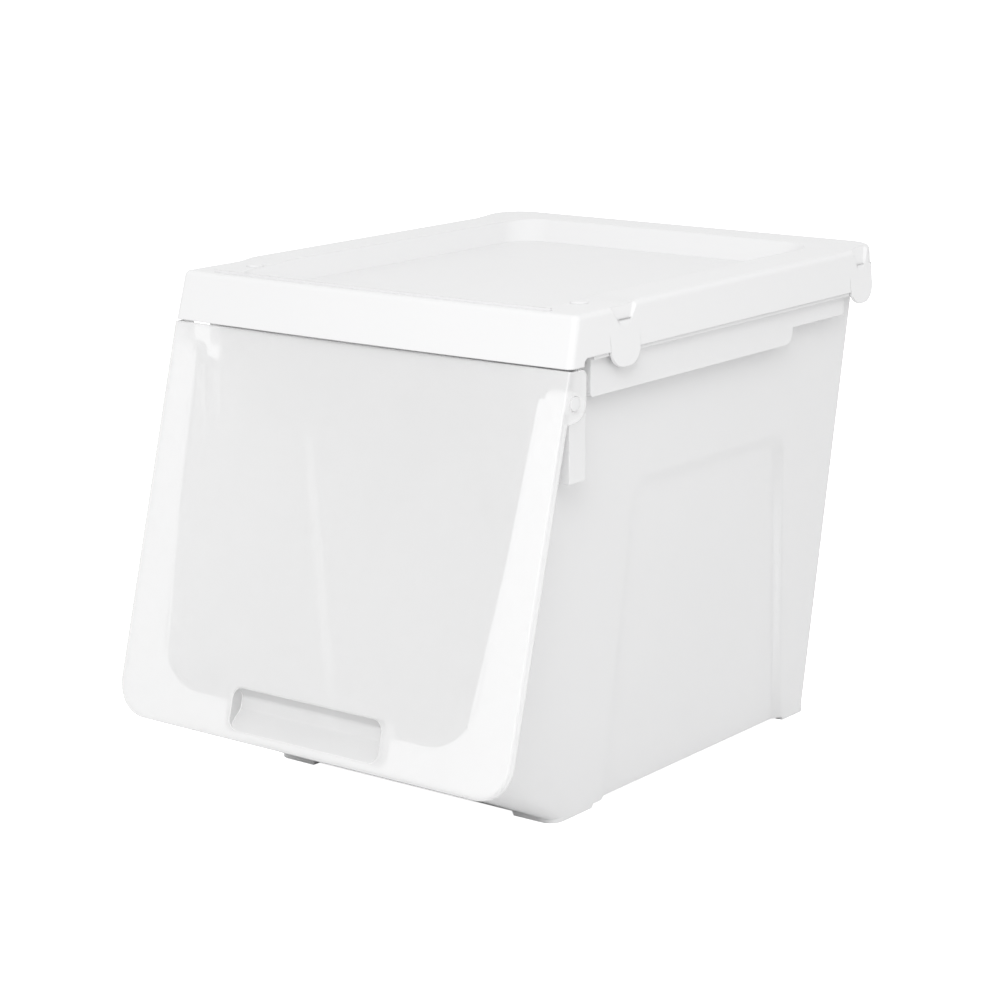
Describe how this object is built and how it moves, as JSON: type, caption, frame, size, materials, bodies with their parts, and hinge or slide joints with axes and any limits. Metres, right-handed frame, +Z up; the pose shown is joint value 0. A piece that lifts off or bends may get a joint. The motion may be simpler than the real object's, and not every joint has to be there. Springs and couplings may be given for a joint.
{
  "type": "stackable storage box with door",
  "caption": "Tapered plastic storage box with a lift-off stacking lid and a see-through front door that hangs from hinges and swings up.",
  "frame": {"origin": "on the ground, under the middle of the box's overall width and depth", "axes": "+X across the box, to the right of someone facing the door; +Y from the door to the back; +Z up"},
  "size_m": [0.3424, 0.4575, 0.357],
  "materials": {
    "tub": "satin white moulded plastic",
    "lid": "satin white moulded plastic",
    "front_door": "frosted see-through moulded plastic"
  },
  "bodies": {
    "tub": {"tub": "tub"},
    "lid": {"lid": "lid"},
    "front_door": {"front_door": "front_door"}
  },
  "joints": [
    {"name": "front_door_hinge", "type": "hinge", "parent": "tub", "child": "front_door", "pos_m": [0, -0.15291, 0.299], "axis": [-1, 0, 0], "range_deg": [0, 110]},
    {"name": "lid_lift", "type": "slide", "parent": "tub", "child": "lid", "axis": [0, 0, 1], "range_m": [0, 0.1]}
  ]
}
